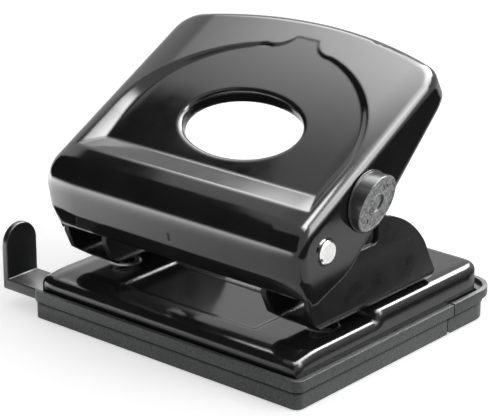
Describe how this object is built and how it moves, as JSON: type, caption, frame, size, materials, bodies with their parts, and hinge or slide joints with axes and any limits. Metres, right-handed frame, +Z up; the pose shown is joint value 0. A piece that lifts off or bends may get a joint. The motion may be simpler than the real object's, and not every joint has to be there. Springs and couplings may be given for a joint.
{
  "type": "hole punch",
  "caption": "Heavy duty office hole punch: pressed steel lever over sprung punches in channel brackets, base plate, chip tray with rear hatch, sliding paper guide and lock knob.",
  "frame": {"origin": "on the table, midway between the punched holes", "axes": "+X along the punch towards the lock knob, +Y to the rear, +Z up"},
  "size_m": [0.1256, 0.0993, 0.0884],
  "materials": {
    "gloss_black_steel": "gloss enamel",
    "satin_black_steel": "satin coat",
    "black_rivet_steel": "satin coat",
    "tray_plastic": "fine grain",
    "guide_plastic": "satin",
    "knob_plastic": "fine grain with smooth rim",
    "foot_rubber": "matt",
    "bright_axle_steel": "turned, nickel plated",
    "pin_steel": "drawn",
    "plain_steel": "zinc plated",
    "screw_steel": "zinc plated",
    "tool_steel": "hardened and ground",
    "spring_steel": "drawn wire"
  },
  "bodies": {
    "base": {"chip_tray": "tray_plastic", "rubber_feet": "foot_rubber", "base_plate": "gloss_black_steel", "plate_standoffs": "plain_steel", "tray_screws": "screw_steel", "punch_bracket_left": "satin_black_steel", "punch_bracket_right": "satin_black_steel", "bracket_rivets": "black_rivet_steel", "punch_guide_bush_left": "plain_steel", "punch_guide_bush_right": "plain_steel", "punch_die_left": "tool_steel", "punch_die_right": "tool_steel", "return_spring_left": "spring_steel", "return_spring_right": "spring_steel", "axle": "bright_axle_steel", "axle_clips": "spring_steel", "guide_keeper": "plain_steel", "guide_keeper_screw": "screw_steel"},
    "lever": {"handle_lever": "gloss_black_steel", "press_arm_left": "satin_black_steel", "press_arm_right": "satin_black_steel", "press_rollers": "tool_steel"},
    "lock": {"lock_knob": "knob_plastic", "lock_shaft": "pin_steel", "lock_dog": "plain_steel"},
    "guide": {"paper_guide": "guide_plastic"},
    "hatch": {"rear_hatch": "tray_plastic", "hatch_hinge_pins": "pin_steel"},
    "punch_left": {"punch_pin_left": "tool_steel"},
    "punch_right": {"punch_pin_right": "tool_steel"}
  },
  "joints": [
    {"name": "lever_hinge", "type": "hinge", "parent": "base", "child": "lever", "pos_m": [0, -0.0127, 0.044], "axis": [-1, 0, 0], "range_deg": [0, 28], "stiffness_Nm_per_rad": 1.8, "springref_deg": -20.05},
    {"name": "punch_left_slide", "type": "slide", "parent": "base", "child": "punch_left", "axis": [0, 0, -1], "range_m": [0, 0.0064], "deforming": ["return_spring_left"]},
    {"name": "punch_right_slide", "type": "slide", "parent": "base", "child": "punch_right", "axis": [0, 0, -1], "range_m": [0, 0.0064], "deforming": ["return_spring_right"]},
    {"name": "lock_turn", "type": "hinge", "parent": "lever", "child": "lock", "pos_m": [0.0528, 0.0062, 0.05405], "axis": [1, 0, 0], "range_deg": [0, 90]},
    {"name": "guide_slide", "type": "slide", "parent": "base", "child": "guide", "axis": [-1, 0, 0], "range_m": [-0.012, 0.082]},
    {"name": "hatch_hinge", "type": "hinge", "parent": "base", "child": "hatch", "pos_m": [0, 0.0467, 0.0019], "axis": [-1, 0, 0], "range_deg": [0, 80]}
  ],
  "couplings": [
    {"joint": "punch_left_slide", "follows": "lever_hinge", "m_per_rad": 0.012959},
    {"joint": "punch_right_slide", "follows": "lever_hinge", "m_per_rad": 0.012959}
  ]
}
